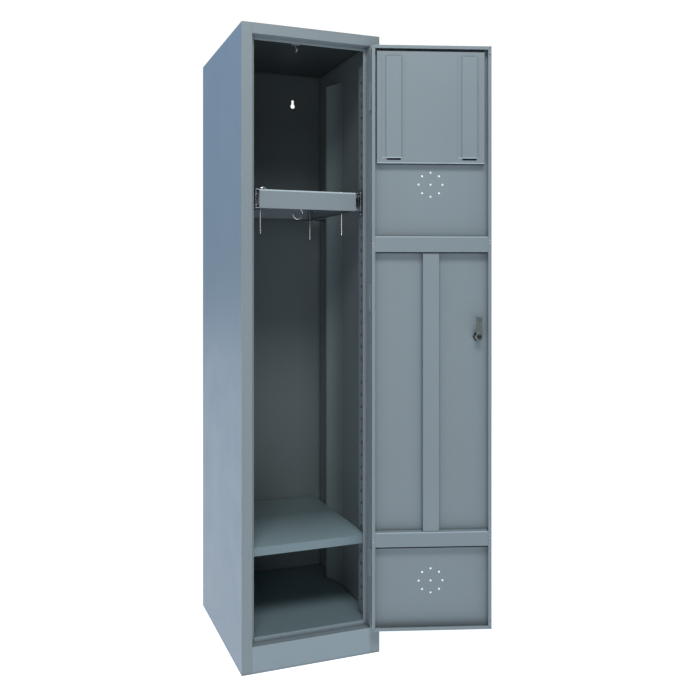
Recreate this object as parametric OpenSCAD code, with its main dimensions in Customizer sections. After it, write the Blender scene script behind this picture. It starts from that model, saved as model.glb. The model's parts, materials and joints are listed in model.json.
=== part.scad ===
// School locker: a welded sheet-steel cabinet with one full-height door, an adjustable shelf
// and a pull-out hanging tray on ball-bearing slides.
// Millimetres, +Z up. The origin is on the floor at the centre of the cabinet's footprint.
// The cabinet's front faces -Y. The door is hinged on the right and modelled open.

/* [Cabinet] */
// Width of the cabinet over its side panels
cabinet_w = 412; // [380:1:460]
// Depth of the cabinet, front frame to back
cabinet_d = 532; // [500:1:600]
// Height of the cabinet
cabinet_h = 1800; // [1700:1:2000]
// Thickness of the cabinet and door sheet
sheet = 1.2; // [0.8:0.1:1.5]
// Width of each front stile
stile_w = 30; // [25:1:40]
// Height of the plinth below the door
plinth_h = 75; // [60:1:100]
// Height of the head rail above the door
head_h = 30; // [25:1:40]
// Depth of the frame's jamb, from the front to the door stop
jamb_depth = 25; // [25:1:30]
// How far each door stop reaches into the opening
stop_w = 11; // [8:1:14]
// Height of the base shelf's upper face
base_shelf_z = 90; // [86:1:110]
// Distance from the front to the back panel
back_y = 520; // [490:1:520]

/* [Uprights and shelf] */
// Width of each front upright
front_upright_w = 38; // [30:1:45]
// Distance from the cabinet's front to the front uprights
front_upright_y = 58; // [50:1:60]
// How far the front uprights stand out from the cabinet's outer side
front_upright_x = 27; // [22:1:30]
// Width of each rear upright
rear_upright_w = 96; // [60:1:100]
// Distance from the cabinet's front to the rear uprights
rear_upright_y = 308; // [300:1:340]
// How far the rear uprights stand out from the cabinet's outer side
rear_upright_x = 25.5; // [18:0.5:26]
// Height of one slot in a front upright
slot_h = 11; // [8:1:16]
// Distance between slots
slot_pitch = 36; // [25:1:50]
// Height of the adjustable shelf's upper face
shelf_z = 337; // [250:1:600]
// Height of the adjustable shelf's front flange
shelf_flange = 25; // [15:1:30]

/* [Door] */
// Angle at which the door stands open
door_open = 161.7; // [0:0.1:174]
// Gap between the door and the frame
door_gap = 2; // [1.5:0.1:3]
// Depth of the door pan
door_depth = 24.5; // [22:0.1:24.8]
// Width of the lip round the door pan's inner side
door_lip = 9.5; // [8:0.5:14]
// Heights of the three hinges
hinge_z = [265, 1036, 1621]; // [120:1:1680]
// Length of one hinge
hinge_l = 80; // [60:1:90]
// Radius of the hinge knuckles
knuckle_r = 3.4; // [3:0.1:3.4]
// Radius of the hinge pins
pin_r = 1.5; // [1.2:0.1:1.8]
// Height of the lock
lock_z = 923; // [800:1:1000]
// Distance from the lock to the door's hinge axis
lock_s = 313; // [300:1:320]
// Heights of the two rings of vent holes
vent_z = [212, 1366]; // [150:1:1400]
// Radius of each ring of vent holes
vent_ring_r = 35; // [25:1:40]

/* [Hanging tray] */
// How far the tray is pulled out
tray_out = 0; // [0:1:386]
// Width of the tray
tray_w = 292; // [280:1:292]
// Depth of the tray
tray_d = 431; // [400:1:440]
// Height of the tray's flanges
tray_h = 54; // [54:1:60]
// Height of the tray's upper face
tray_z = 1344; // [1000:1:1500]
// Distance from the cabinet's front to the tray when it is in
tray_y = 35; // [32:1:40]
// Diameter of the hanger rods
wire_d = 5; // [4:0.5:6]
// Height of the lower ends of the hanger rods
hanger_z = 1224; // [900:1:1250]

/* [Hidden] */

$fn = 48;
paint = "#8f9ba0";
inner_paint = "#87949a";
zinc = "#b9bcc6";
chrome = "#dfe3e6";
black = "#1c1d1f";

inner_top = cabinet_h - sheet;
opening_x0 = stile_w;
opening_x1 = cabinet_w - stile_w;
opening_top = cabinet_h - head_h;
back_flange_w = 20;
base_bar_w = 25;
keyhole_x = 102;
keyhole_z = 1690;
keyhole_r = 7.5;
keyhole_slot = 8;
keyhole_l = 21;
upright_sheet = 1.5;
slot_w = 10;
front_upright_top = 1728;
rear_upright_top = 1736;
rear_upright_flat = 8;
shelf_y = 35;
shelf_back = 505;
shelf_x0 = 28;
shelf_hem = 10;
clip_t = 1.5;
clip_w = 14;
clip_drop = 22;
clip_ledge = 18;
screw_head_r = 3.5;
wall_rivet_y = 270;
wall_rivet_z = 1637;
wall_rivet_r = 4;
wall_rivet_t = 1.6;
screw_head_t = 2;
head_stop = 10;

// the door is laid out closed, then swung about the hinge axis
axis_x = opening_x1;
axis_y = -3.5;
door_x0 = opening_x0 + door_gap;
door_x1 = opening_x1 - door_gap;
door_low_gap = 1.5;
door_top_gap = 4.5;
door_z0 = plinth_h + door_low_gap;
door_z1 = opening_top - door_top_gap;
door_sheet = 1;
leaf_t = 0.8;
leaf_end = 18;
leaf_root = 0.7;
knuckle_gap = 0.3;
pin_clearance = 0.06;
hinge_pin_head = 2.4;
hinge_pin_head_t = 1.6;
hinge_pin_stand = 0.3;
vent_hole_r = 2.75;
vent_s = 175.5;
upper_panel_y = 17;
upper_panel_z = [1425, 1750];
upper_panel_s = [17, 331];
strip_w = 43;
strip_y = 22;
strip_z = [1440, 1734];
strip_flange = 12;
strip_edge = 4;
strip_s = [44, 265];
rail_y = 23.5;
upper_rail_z = [1169, 1214];
lower_rail_z = [318, 360];
stiffener_s = 174;
stiffener_w = 47;
stiffener_y = 21;
lip_hole_z = [100, 1742];
lip_hole_r = 2;

// cam lock
lock_x = axis_x - lock_s;
barrel_r = 9.5;
barrel_end = 26;
lock_face = -1.5;
lock_flange_r = 12;
plug_r = 6.5;
plug_clearance = 0.05;
stem_r = 3;
stem_end = 35;
cam_y = 27.5;
cam_t = 2;
cam_w = 18;
cam_l = 58;
cam_nut_t = 4;
cam_nut_w = 13;
body_nut_t = 4;
body_nut_w = 24;
key_slot = [1.6, 9, 8];

// telescopic slides: sections are laid out about the slide's middle height, with u = 0 on the
// tray's side wall and u = slide_t on the bracket
slide_t = 13;
slide_x = (cabinet_w - tray_w) / 2 - slide_t;
slide_z = tray_z - tray_h / 2;
slide_sheet = 1.4;
outer_y = [27, 442];
middle_y = [50, 435];
inner_y = [48, 440];
outer_half = 26.5;
outer_rim_u = 2;
outer_lip = 3;
middle_half = 21;
middle_web_u = 8.8;
middle_rim_u = 3;
inner_half = 15.4;
inner_rim_u = 7;
slide_lip = 2.2;
web_holes = 4;
web_hole_r = 4;
web_hole_start = 30;
web_hole_pitch = 96;
cut_out_y = [134, 168];
cut_out_half = 6;
ball_r = 2;
ball_u = 6;
balls_per_strip = 6;
cage_t = 0.5;
cage_half = 2.4;
outer_cage_y = [150, 330];
inner_cage_y = [160, 330];
bracket_t = 1.2;
bracket_half = 24;
bracket_y = [62, 440];
bracket_foot = 14;
foot_y = [64, 92];
rear_foot_y = [408, 440];

tray_x0 = (cabinet_w - tray_w) / 2;
tray_hem = 8;
rear_hole_x = [109, 303];
rod_x = [80, 332];
rod_y = [101, 398];
rod_rise = 3;
rod_arch_r = 9.5;
rod_end = 3;
hook_x = 236;
hook_y = 213;
hook_wire = 4;
hook_r = 16;
hook_neck_r = 8;
hook_turn = 55;
hook_loop_z = 1292;
hook_tip = 8;
hook_nut_r = 4.6;
hook_nut_t = 3;
screw_y = [75, 238, 400];
lever_y = [62, 128];
lever_pivot_y = 120;
lever_t = 1.8;
lever_gap = 0.2;
lever_bar = 3.5;
lever_nose = 9;
lever_nose_l = 14;
lever_bore = 1.6;
lever_pin = 1.55;
lever_pin_head = 2.6;
lever_pin_head_t = 0.4;
screw_r = 2;
tray_screw_head_r = 3.6;
tray_screw_head_t = 2;

// ---- helpers --------------------------------------------------------------------------

// moves work laid out from the cabinet's front left bottom corner into the part's frame
module from_corner() {
    translate([-cabinet_w / 2, -cabinet_d / 2, 0]) children();
}

// the same for a left part, or its mirror image on the right
module on_side(side) {
    mirror([side == "right" ? 1 : 0, 0, 0]) from_corner() children();
}

// a part that moves with the tray: share is its part of the tray's travel
module pulled(share) {
    translate([0, -tray_out * share, 0]) children();
}

// a part laid out on the closed door, swung open
module on_door() {
    from_corner()
        translate([axis_x, axis_y, 0]) rotate([0, 0, door_open]) translate([-axis_x, -axis_y, 0])
            children();
}

// a box from its lowest to its highest corner
module block(low, high) {
    translate(low) cube(high - low);
}

// a round bar along Y
module bar_y(x, z, r, y0, y1) {
    translate([x, y0, z]) rotate([-90, 0, 0]) cylinder(r = r, h = y1 - y0);
}

// a round bar along X
module bar_x(y, z, r, x0, x1) {
    translate([x0, y, z]) rotate([0, 90, 0]) cylinder(r = r, h = x1 - x0);
}

// a hexagonal bar along Y with a round hole
module nut_y(x, z, across, bore, y0, y1) {
    difference() {
        translate([x, y0, z]) rotate([-90, 0, 0])
            cylinder(r = across / 2 / cos(30), h = y1 - y0, $fn = 6);
        bar_y(x, z, bore, y0 - 1, y1 + 1);
    }
}

// ---- cabinet shell --------------------------------------------------------------------

module side_panel(side) {
    color(paint) on_side(side) {
        block([0, sheet, 0], [sheet, cabinet_d, inner_top]);
        block([sheet, cabinet_d - sheet, 0], [back_flange_w, cabinet_d, inner_top]);
    }
}

module left_side_panel() {
    side_panel("left");
}

module right_side_panel() {
    side_panel("right");
}

// a round hole with a narrower slot above it, for hanging on a screw head
module keyhole(x) {
    bar_y(x, keyhole_z, keyhole_r, back_y - 1, back_y + sheet + 1);
    block([x - keyhole_slot / 2, back_y - 1, keyhole_z],
        [x + keyhole_slot / 2, back_y + sheet + 1, keyhole_z + keyhole_l]);
}

module back_panel() {
    rear = cabinet_d - sheet;
    color(inner_paint) from_corner() difference() {
        union() {
            block([sheet, back_y, 0], [cabinet_w - sheet, back_y + sheet, inner_top]);
            for (x = [sheet, cabinet_w - 2 * sheet])
                block([x, back_y, 0], [x + sheet, rear, inner_top]);
            block([sheet, back_y, inner_top - sheet], [cabinet_w - sheet, rear, inner_top]);
        }
        for (x = [keyhole_x, cabinet_w - keyhole_x])
            keyhole(x);
    }
}

module top_panel() {
    color(paint) from_corner() block([0, 0, inner_top], [cabinet_w, cabinet_d, cabinet_h]);
}

module stile(side) {
    color(paint) on_side(side) {
        block([0, 0, 0], [stile_w, sheet, inner_top]);
        block([stile_w - sheet, 0, 0], [stile_w, jamb_depth + sheet, inner_top]);
        block([stile_w - sheet, jamb_depth, plinth_h],
            [stile_w + stop_w, jamb_depth + sheet, inner_top]);
    }
}

module left_stile() {
    stile("left");
}

module right_stile() {
    stile("right");
}

module head_rail() {
    color(paint) from_corner() {
        block([opening_x0, 0, opening_top], [opening_x1, sheet, inner_top]);
        block([opening_x0, 0, opening_top], [opening_x1, jamb_depth, opening_top + sheet]);
        block([opening_x0 + stop_w, jamb_depth, opening_top - head_stop],
            [opening_x1 - stop_w, jamb_depth + sheet, opening_top + sheet]);
    }
}

module plinth() {
    color(paint) from_corner() {
        block([opening_x0, 0, 0], [opening_x1, sheet, plinth_h]);
        block([opening_x0, 0, plinth_h - sheet], [opening_x1, jamb_depth, plinth_h]);
        block([opening_x0 + stop_w, jamb_depth, plinth_h - sheet],
            [opening_x1 - stop_w, jamb_depth + sheet, base_shelf_z - sheet]);
    }
}

module base_shelf() {
    color(inner_paint) from_corner() {
        block([opening_x0 + stop_w, jamb_depth, base_shelf_z - sheet],
            [opening_x1 - stop_w, jamb_depth + 2 * sheet, base_shelf_z]);
        block([sheet, jamb_depth + sheet, base_shelf_z - sheet],
            [cabinet_w - sheet, back_y, base_shelf_z]);
    }
}

// flat bars round the foot of the cabinet and one across the middle, resting on the floor
module base_frame() {
    y0 = jamb_depth + sheet;
    middle = cabinet_d / 2;
    color(paint) from_corner() {
        for (x = [sheet, cabinet_w - sheet - base_bar_w])
            block([x, y0, 0], [x + base_bar_w, back_y, sheet]);
        for (y = [y0, middle - base_bar_w / 2, back_y - base_bar_w])
            block([sheet, y, 0], [cabinet_w - sheet, y + base_bar_w, sheet]);
    }
}

// ---- uprights, shelf and fittings -------------------------------------------------------

// a slotted channel on a side wall
module front_upright(side) {
    x = front_upright_x;
    y = front_upright_y;
    slots = floor((front_upright_top - base_shelf_z - slot_pitch) / slot_pitch);
    slot_y = y + (front_upright_w - slot_w) / 2;
    color(inner_paint) on_side(side) difference() {
        union() {
            block([x - upright_sheet, y, base_shelf_z], [x, y + front_upright_w, front_upright_top]);
            for (edge = [y, y + front_upright_w - upright_sheet])
                block([sheet, edge, base_shelf_z], [x, edge + upright_sheet, front_upright_top]);
        }
        for (n = [1:slots])
            block([x - upright_sheet - 1, slot_y, base_shelf_z + n * slot_pitch],
                [x + 1, slot_y + slot_w, base_shelf_z + n * slot_pitch + slot_h]);
    }
}

// a bent sheet that slants from the side wall to a narrow flat and turns back to the wall
module rear_upright(side) {
    w = rear_upright_w;
    run = w - rear_upright_flat;
    rise = rear_upright_x - sheet;
    shift = upright_sheet * sqrt(run * run + rise * rise) / rise;
    inner = rise - upright_sheet;
    color(inner_paint) on_side(side) translate([sheet, rear_upright_y, base_shelf_z])
        linear_extrude(rear_upright_top - base_shelf_z)
            polygon([
                [0, 0], [rise, run], [rise, w], [0, w],
                [0, w - upright_sheet], [inner, w - upright_sheet],
                [inner, shift + inner * run / rise], [0, shift]
            ]);
}

module front_upright_left() {
    front_upright("left");
}

module front_upright_right() {
    front_upright("right");
}

module rear_upright_left() {
    rear_upright("left");
}

module rear_upright_right() {
    rear_upright("right");
}

module mid_shelf() {
    x0 = shelf_x0;
    x1 = cabinet_w - shelf_x0;
    low = shelf_z - shelf_flange;
    color(inner_paint) from_corner() {
        block([x0, shelf_y, shelf_z - sheet], [x1, shelf_back, shelf_z]);
        block([x0, shelf_y, low], [x1, shelf_y + sheet, shelf_z]);
        block([x0, shelf_y, low], [x1, shelf_y + shelf_hem, low + sheet]);
        block([x0, shelf_back - sheet, low], [x1, shelf_back, shelf_z]);
    }
}

// one bent clip: a tab on an upright and a ledge under the shelf
module shelf_clip(reach, y) {
    ledge = shelf_z - sheet;
    block([reach, y[0], ledge - clip_drop], [reach + clip_t, y[1], ledge]);
    block([reach, y[0], ledge - clip_t], [reach + clip_ledge, y[1], ledge]);
}

module shelf_clips() {
    front_y = front_upright_y + front_upright_w / 2;
    rear_y = rear_upright_y + rear_upright_w;
    color(zinc)
        for (side = ["left", "right"])
            on_side(side) {
                shelf_clip(front_upright_x, [front_y - clip_w / 2, front_y + clip_w / 2]);
                shelf_clip(rear_upright_x, [rear_y - rear_upright_flat, rear_y]);
            }
}

// one foot of a slide bracket: a plate at x and two arms that reach to the bracket's face
module bracket_foot(x, y, face) {
    low = slide_z - bracket_half;
    top = slide_z + bracket_half;
    block([x, y[0], low - bracket_foot], [x + bracket_t, y[1], top + bracket_foot]);
    for (z = [low, top - bracket_t])
        block([x, y[0], z], [face, y[1], z + bracket_t]);
}

// a plate that carries the slide, with one foot on the front upright and one on the side wall
module slide_bracket(side) {
    face = slide_x - bracket_t;
    color(inner_paint) on_side(side) {
        block([face, bracket_y[0], slide_z - bracket_half],
            [slide_x, bracket_y[1], slide_z + bracket_half]);
        bracket_foot(front_upright_x, foot_y, face);
        bracket_foot(sheet, rear_foot_y, face);
    }
}

module slide_bracket_left() {
    slide_bracket("left");
}

module slide_bracket_right() {
    slide_bracket("right");
}

function middle_of(pair) = (pair[0] + pair[1]) / 2;

module screw_head_x(x, y, z) {
    bar_x(y, z, screw_head_r, x, x + screw_head_t);
}

module bracket_screws() {
    reach = bracket_half + bracket_foot / 2;
    color(zinc)
        for (side = ["left", "right"], z = [slide_z - reach, slide_z + reach])
            on_side(side) {
                screw_head_x(front_upright_x + bracket_t, middle_of(foot_y), z);
                screw_head_x(sheet + bracket_t, middle_of(rear_foot_y), z);
            }
}

// a moulded bracket behind each slide's rear end, with a foot on the side wall and a knob
module rear_clips() {
    t = 3;
    foot = 16;
    knob_r = 4;
    knob_l = 7;
    x1 = slide_x + t;
    y = outer_y[1];
    z0 = slide_z - 28;
    z1 = slide_z - 1;
    x0 = x1 - knob_l / 2;
    z = middle_of([z0, z1]);
    color(black)
        for (side = ["left", "right"])
            on_side(side) {
                block([sheet, y, z0], [x1, y + t, z1]);
                block([sheet, y, z0], [sheet + t, y + foot, z1]);
                bar_x(y + t + 2, z, knob_r, x0, x0 + knob_l);
                block([x0, y, z - 2 * knob_r], [x1, y + 2 * t, z + 2 * knob_r]);
            }
}

module wall_rivets() {
    color(paint)
        for (side = ["left", "right"])
            on_side(side) bar_x(wall_rivet_y, wall_rivet_z, wall_rivet_r, sheet, sheet + wall_rivet_t);
}

// a small plate under the top with a wire hook
module ceiling_hook() {
    x = cabinet_w / 2;
    y = 160;
    r = 7;
    wire = 1.8;
    drop = 18;
    tip = 5;
    plate = [24, 16, 2];
    bend_z = inner_top - drop;
    color(zinc) from_corner() {
        translate([x - plate[0] / 2, y - plate[1] / 2, inner_top - plate[2]]) cube(plate);
        translate([x, y, bend_z]) cylinder(r = wire, h = drop - plate[2] / 2);
        translate([x, y - r, bend_z]) rotate([0, 90, 0]) rotate([0, 0, -90])
            rotate_extrude(angle = 180) translate([r, 0]) circle(r = wire);
        translate([x, y - 2 * r, bend_z]) cylinder(r = wire, h = tip);
    }
}

// ---- hinges -----------------------------------------------------------------------------

// a leaf with its half of the knuckle: x0 is the leaf's outer face and z0..z1 its knuckle
module hinge_leaf(x0, middle, z0, z1, bore) {
    difference() {
        union() {
            translate([axis_x, axis_y, z0]) cylinder(r = knuckle_r, h = z1 - z0);
            block([x0, axis_y, z0], [x0 + leaf_t, leaf_root, z1]);
            block([x0, leaf_root, middle - hinge_l / 2], [x0 + leaf_t, leaf_end, middle + hinge_l / 2]);
        }
        translate([axis_x, axis_y, z0 - 1]) cylinder(r = bore, h = z1 - z0 + 2);
    }
}

module hinge_frame_leaves() {
    color(paint) from_corner()
        for (z = hinge_z)
            hinge_leaf(axis_x - leaf_t, z, z - hinge_l / 2, z - knuckle_gap, pin_r);
}

module hinge_door_leaves() {
    color(paint) on_door()
        for (z = hinge_z)
            hinge_leaf(door_x1, z, z + knuckle_gap, z + hinge_l / 2, pin_r + pin_clearance);
}

module hinge_pins() {
    color(zinc) from_corner()
        for (z = hinge_z)
            translate([axis_x, axis_y, z - hinge_l / 2]) {
                cylinder(r = pin_r, h = hinge_l + hinge_pin_stand);
                translate([0, 0, hinge_l + hinge_pin_stand])
                    cylinder(r = hinge_pin_head, h = hinge_pin_head_t);
            }
}

// ---- telescopic slides --------------------------------------------------------------------

// a channel along Y: its web lies at u0..u0 + slide_sheet and its flanges reach down to u1
module slide_channel(half, u0, u1, y, lip) {
    wall = slide_x + slide_t;
    block([wall - u0 - slide_sheet, y[0], slide_z - half], [wall - u0, y[1], slide_z + half]);
    for (s = [-1, 1]) {
        edge = slide_z + s * (half - slide_sheet / 2);
        block([wall - max(u0, u1), y[0], edge - slide_sheet / 2],
            [wall - min(u0, u1), y[1], edge + slide_sheet / 2]);
        rim = slide_z + s * (half - lip / 2);
        block([wall - u1 - (u1 > u0 ? 0 : 1), y[0], rim - lip / 2],
            [wall - u1 + (u1 > u0 ? 1 : 0), y[1], rim + lip / 2]);
    }
}

module slide_outer(side) {
    color(zinc) on_side(side)
        slide_channel(outer_half, slide_t - slide_sheet, outer_rim_u, outer_y, outer_lip);
}

module slide_middle(side) {
    color(zinc) on_side(side) pulled(0.5)
        difference() {
            slide_channel(middle_half, middle_web_u, middle_rim_u, middle_y, slide_lip);
            for (n = [0:web_holes - 1])
                bar_x(middle_y[0] + web_hole_start + n * web_hole_pitch, slide_z, web_hole_r, slide_x,
                    slide_x + slide_t);
        }
}

module slide_inner(side) {
    web_x = slide_x + slide_t;
    color(zinc) on_side(side) pulled(1)
        difference() {
            slide_channel(inner_half, 0, inner_rim_u, inner_y, slide_lip);
            for (y = screw_y)
                bar_x(y, slide_z, screw_r, web_x - slide_sheet - 1, web_x + 1);
            block([web_x - slide_sheet - 1, cut_out_y[0], slide_z - cut_out_half],
                [web_x + 1, cut_out_y[1], slide_z + cut_out_half]);
        }
}

// two strips of balls that roll between two channels
module ball_cage(side, y, z_middle, share) {
    x = slide_x + slide_t - ball_u;
    step = (y[1] - y[0]) / balls_per_strip;
    color(chrome) on_side(side) pulled(share)
        for (s = [-1, 1]) {
            z = slide_z + s * z_middle;
            block([x - cage_half, y[0], z - cage_t / 2], [x + cage_half, y[1], z + cage_t / 2]);
            for (n = [0:balls_per_strip - 1])
                translate([x, y[0] + (n + 0.5) * step, z]) sphere(r = ball_r, $fn = 24);
        }
}

module outer_cage(side) {
    ball_cage(side, outer_cage_y, (outer_half - slide_sheet + middle_half) / 2, 0.25);
}

module inner_cage(side) {
    ball_cage(side, inner_cage_y, (middle_half - slide_sheet + inner_half) / 2, 0.75);
}

// a moulded lever on the inner member, with an arrow-shaped nose towards the front
module release_lever(side) {
    x0 = slide_x + slide_t - slide_sheet - lever_gap - lever_t;
    neck_y = lever_y[0] + lever_nose_l + lever_bar;
    color(black) on_side(side) pulled(1)
        difference() {
            translate([x0, 0, slide_z]) rotate([90, 0, 90]) linear_extrude(lever_t)
                polygon([
                    [lever_y[1], -lever_bar], [lever_y[1], lever_bar], [neck_y, lever_bar],
                    [lever_y[0] + lever_nose_l, lever_nose], [lever_y[0], 0],
                    [lever_y[0] + lever_nose_l, -lever_nose], [neck_y, -lever_bar]
                ]);
            bar_x(lever_pivot_y, slide_z, lever_bore, x0 - 1, x0 + lever_t + 1);
        }
}

module lever_rivets() {
    web_x = slide_x + slide_t - slide_sheet;
    head_x = web_x - 2 * lever_gap - lever_t;
    color(zinc)
        for (side = ["left", "right"])
            on_side(side) pulled(1) {
                bar_x(lever_pivot_y, slide_z, lever_pin, head_x, web_x);
                bar_x(lever_pivot_y, slide_z, lever_pin_head, head_x - lever_pin_head_t, head_x);
            }
}

module slide_outer_left() {
    slide_outer("left");
}

module slide_outer_right() {
    slide_outer("right");
}

module slide_middle_left() {
    slide_middle("left");
}

module slide_middle_right() {
    slide_middle("right");
}

module outer_cage_left() {
    outer_cage("left");
}

module outer_cage_right() {
    outer_cage("right");
}

module inner_cage_left() {
    inner_cage("left");
}

module inner_cage_right() {
    inner_cage("right");
}

module slide_inner_left() {
    slide_inner("left");
}

module slide_inner_right() {
    slide_inner("right");
}

module release_lever_left() {
    release_lever("left");
}

module release_lever_right() {
    release_lever("right");
}

// ---- hanging tray ---------------------------------------------------------------------------

module rod_hole(x, y) {
    translate([x, y, tray_z - sheet - 1]) cylinder(r = wire_d / 2, h = sheet + 2);
}

// an upturned pan: its flanges point down and turn inwards in a narrow hem
module tray_pan() {
    x1 = tray_x0 + tray_w;
    y1 = tray_y + tray_d;
    low = tray_z - tray_h;
    color(paint) from_corner() pulled(1)
        difference() {
            block([tray_x0, tray_y, low], [x1, y1, tray_z]);
            block([tray_x0 + sheet, tray_y + sheet, low + sheet],
                [x1 - sheet, y1 - sheet, tray_z - sheet]);
            block([tray_x0 + tray_hem, tray_y + tray_hem, low - 1],
                [x1 - tray_hem, y1 - tray_hem, low + sheet + 1]);
            for (x = rod_x, y = rod_y) {
                rod_hole(x, y);
                if (x == rod_x[0])
                    rod_hole(x + 2 * rod_arch_r, y);
                else
                    rod_hole(x, y + 2 * rod_arch_r);
            }
            translate([hook_x, hook_y, tray_z - sheet - 1]) cylinder(r = hook_wire / 2, h = sheet + 2);
            for (x = rear_hole_x)
                bar_y(x, slide_z, screw_r, y1 - sheet - 1, y1 + 1);
            for (y = screw_y)
                bar_x(y, slide_z, screw_r, tray_x0 - 1, x1 + 1);
        }
}

// screws that hold the inner slide members to the tray's side flanges
module tray_screws() {
    color(zinc)
        for (side = ["left", "right"])
            on_side(side) pulled(1)
                for (y = screw_y) {
                    bar_x(y, slide_z, screw_r, tray_x0 - slide_sheet, tray_x0 + sheet);
                    bar_x(y, slide_z, tray_screw_head_r, tray_x0 + sheet,
                        tray_x0 + sheet + tray_screw_head_t);
                }
}

// a straight rod with a hooked top that arches over to a second hole in the tray: side is the
// direction of the arch, 0 along X and 90 along Y
module hanger_rod(x, y, side) {
    r = wire_d / 2;
    bend_z = tray_z + rod_rise;
    end_z = tray_z - sheet - rod_end;
    color(chrome) from_corner() pulled(1) translate([x, y, 0]) rotate([0, 0, side]) {
        translate([0, 0, hanger_z]) cylinder(r = r, h = bend_z - hanger_z);
        translate([rod_arch_r, 0, bend_z]) rotate([90, 0, 0])
            rotate_extrude(angle = 180) translate([rod_arch_r, 0]) circle(r = r);
        translate([2 * rod_arch_r, 0, end_z]) cylinder(r = r, h = bend_z - end_z);
    }
}

module front_left_rod() {
    hanger_rod(rod_x[0], rod_y[0], 0);
}

module front_right_rod() {
    hanger_rod(rod_x[1], rod_y[0], 90);
}

module rear_left_rod() {
    hanger_rod(rod_x[0], rod_y[1], 0);
}

module rear_right_rod() {
    hanger_rod(rod_x[1], rod_y[1], 90);
}

// a wire hook under the middle of the tray: its neck turns aside before the open loop
module tray_hook() {
    r = hook_wire / 2;
    loop_x = hook_x + hook_neck_r - (hook_neck_r + hook_r) * cos(hook_turn);
    neck_z = hook_loop_z + (hook_neck_r + hook_r) * sin(hook_turn);
    tip_x = loop_x - hook_r;
    tip_z = hook_loop_z + hook_tip;
    color(chrome) from_corner() pulled(1) {
        translate([hook_x, hook_y, neck_z]) cylinder(r = r, h = tray_z + hook_nut_t + 1 - neck_z);
        translate([hook_x + hook_neck_r, hook_y, neck_z]) rotate([90, 0, 0])
            rotate([0, 0, 180]) rotate_extrude(angle = hook_turn)
                translate([hook_neck_r, 0]) circle(r = r);
        translate([loop_x, hook_y, hook_loop_z]) rotate([90, 0, 0])
            rotate([0, 0, 180]) rotate_extrude(angle = 180 + hook_turn)
                translate([hook_r, 0]) circle(r = r);
        translate([tip_x, hook_y, hook_loop_z]) cylinder(r = r, h = hook_tip);
        translate([tip_x, hook_y, tip_z]) sphere(r = r);
    }
}

module hook_nut() {
    color(zinc) from_corner() pulled(1)
        for (z = [tray_z, tray_z - sheet - hook_nut_t])
            translate([hook_x, hook_y, z])
                difference() {
                    cylinder(r = hook_nut_r, h = hook_nut_t, $fn = 6);
                    translate([0, 0, -1]) cylinder(r = hook_wire / 2, h = hook_nut_t + 2);
                }
}

// ---- door -----------------------------------------------------------------------------------

module vent_holes(z) {
    x = axis_x - vent_s;
    bar_y(x, z, vent_hole_r, -1, door_sheet + 1);
    for (n = [0:7])
        bar_y(x + vent_ring_r * cos(45 * n), z + vent_ring_r * sin(45 * n), vent_hole_r, -1,
            door_sheet + 1);
}

module door_skin() {
    color(paint) on_door() difference() {
        block([door_x0, 0, door_z0], [door_x1, door_depth, door_z1]);
        block([door_x0 + door_sheet, door_sheet, door_z0 + door_sheet],
            [door_x1 - door_sheet, door_depth - door_sheet, door_z1 - door_sheet]);
        block([door_x0 + door_lip, door_sheet, door_z0 + door_lip],
            [door_x1 - door_lip, door_depth + 1, door_z1 - door_lip]);
        for (z = vent_z)
            vent_holes(z);
        for (z = lip_hole_z)
            bar_y(door_x0 + door_lip / 2, z, lip_hole_r, door_depth - 2, door_depth + 1);
        bar_y(lock_x, lock_z, barrel_r, -1, door_sheet + 1);
    }
}

// a shallow folded pan that doubles the top of the door
module door_upper_panel() {
    x0 = axis_x - upper_panel_s[1];
    x1 = axis_x - upper_panel_s[0];
    color(paint) on_door() difference() {
        block([x0, door_sheet, upper_panel_z[0]], [x1, upper_panel_y + door_sheet, upper_panel_z[1]]);
        block([x0 + door_sheet, 0, upper_panel_z[0] + door_sheet],
            [x1 - door_sheet, upper_panel_y, upper_panel_z[1] - door_sheet]);
    }
}

// a hat section standing on the upper panel: s is its near edge's distance from the hinge axis
module panel_strip(s) {
    x1 = axis_x - s;
    x0 = x1 - strip_w;
    y0 = upper_panel_y + door_sheet;
    z0 = strip_z[0];
    z1 = strip_z[1];
    color(paint) on_door() {
        block([x0, strip_y, z0], [x1, strip_y + door_sheet, z1]);
        for (x = [x0, x1 - door_sheet])
            block([x, y0, z0], [x + door_sheet, strip_y + door_sheet, z1]);
        block([x1 - door_sheet, y0, z0], [x1 + strip_flange, y0 + door_sheet, z1]);
        block([x0 - strip_edge, y0, z0], [x0 + door_sheet, y0 + door_sheet, z1]);
    }
}

module panel_strip_hinge_side() {
    panel_strip(strip_s[0]);
}

module panel_strip_lock_side() {
    panel_strip(strip_s[1]);
}

// a hat section across the door from lip to lip
module cross_rail(z) {
    x0 = door_x0 + door_lip;
    x1 = door_x1 - door_lip;
    color(paint) on_door() {
        block([x0, rail_y - door_sheet, z[0]], [x1, rail_y, z[1]]);
        for (edge = [z[0], z[1] - door_sheet])
            block([x0, door_sheet, edge], [x1, rail_y, edge + door_sheet]);
    }
}

module door_upper_rail() {
    cross_rail(upper_rail_z);
}

module door_lower_rail() {
    cross_rail(lower_rail_z);
}

// a hat section down the middle of the door, between the two cross rails
module door_stiffener() {
    x0 = axis_x - stiffener_s - stiffener_w / 2;
    x1 = x0 + stiffener_w;
    color(paint) on_door() {
        block([x0, stiffener_y - door_sheet, lower_rail_z[1]], [x1, stiffener_y, upper_rail_z[0]]);
        for (x = [x0, x1 - door_sheet])
            block([x, door_sheet, lower_rail_z[1]], [x + door_sheet, stiffener_y, upper_rail_z[0]]);
    }
}

// ---- cam lock -------------------------------------------------------------------------------

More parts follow.
